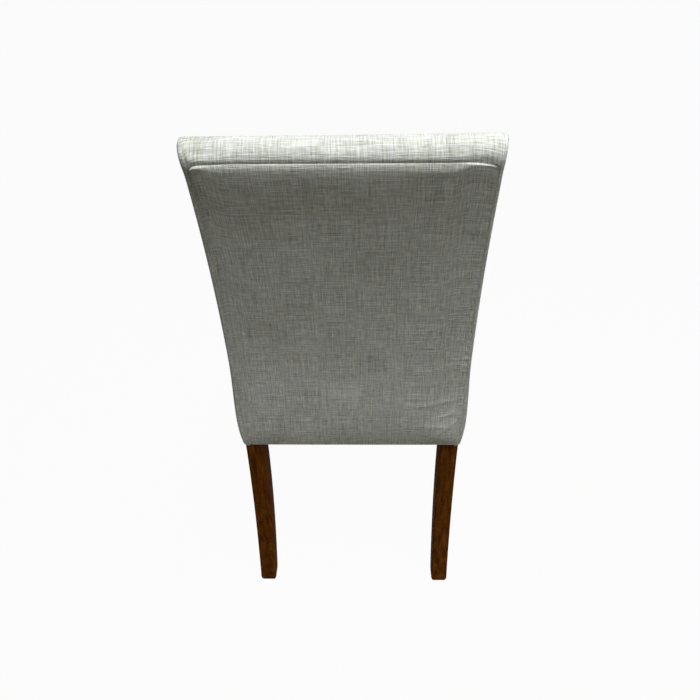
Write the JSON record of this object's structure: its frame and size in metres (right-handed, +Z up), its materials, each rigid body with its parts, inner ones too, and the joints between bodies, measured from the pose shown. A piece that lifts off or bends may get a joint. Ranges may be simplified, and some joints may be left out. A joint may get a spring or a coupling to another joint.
{
  "type": "upholstered dining chair",
  "caption": "Armless dining chair, fully upholstered, with a swept back rounded over at its top, a crowned seat, sabre rear legs and tapered front legs",
  "frame": {"origin": "on the floor, under the middle of the chair's overall width and depth", "axes": "+Z up from the floor, -Y the way the sitter faces, +X towards the sitter's left"},
  "size_m": [0.4704, 0.609, 1.03],
  "materials": {
    "linen_cover": "slubby plain-weave linen, light grey",
    "stained_wood": "dark walnut stain under satin lacquer",
    "frame_wood": "planed and unfinished",
    "dowel_wood": "turned beech, glued",
    "foam": "open-cell upholstery foam",
    "wadding": "soft polyester fibre",
    "webbing": "woven elastic strap",
    "card": "pressed fibre strip",
    "dust_cloth": "non-woven black cloth",
    "screw_steel": "zinc plated",
    "glide_nylon": "moulded dark nylon"
  },
  "bodies": {
    "root": {"rear_post_left": "stained_wood", "rear_post_right": "stained_wood", "front_leg_left": "stained_wood", "front_leg_right": "stained_wood", "front_seat_rail": "frame_wood", "rear_seat_rail": "frame_wood", "side_seat_rail_left": "frame_wood", "side_seat_rail_right": "frame_wood", "crest_rail": "frame_wood", "lumbar_rail": "frame_wood", "corner_blocks": "frame_wood", "corner_block_screws": "screw_steel", "seat_rail_dowels": "dowel_wood", "back_rail_dowels": "dowel_wood", "seat_webbing_lengthwise": "webbing", "seat_webbing_crosswise": "webbing", "back_webbing": "webbing", "seat_foam": "foam", "back_foam": "foam", "crest_roll_foam": "foam", "seat_wadding": "wadding", "outside_back_wadding": "wadding", "tack_strip": "card", "seat_cover": "linen_cover", "inside_back_cover": "linen_cover", "outside_back_cover": "linen_cover", "side_panel_left": "linen_cover", "side_panel_right": "linen_cover", "dust_cover": "dust_cloth", "foot_glides": "glide_nylon"}
  },
  "joints": []
}
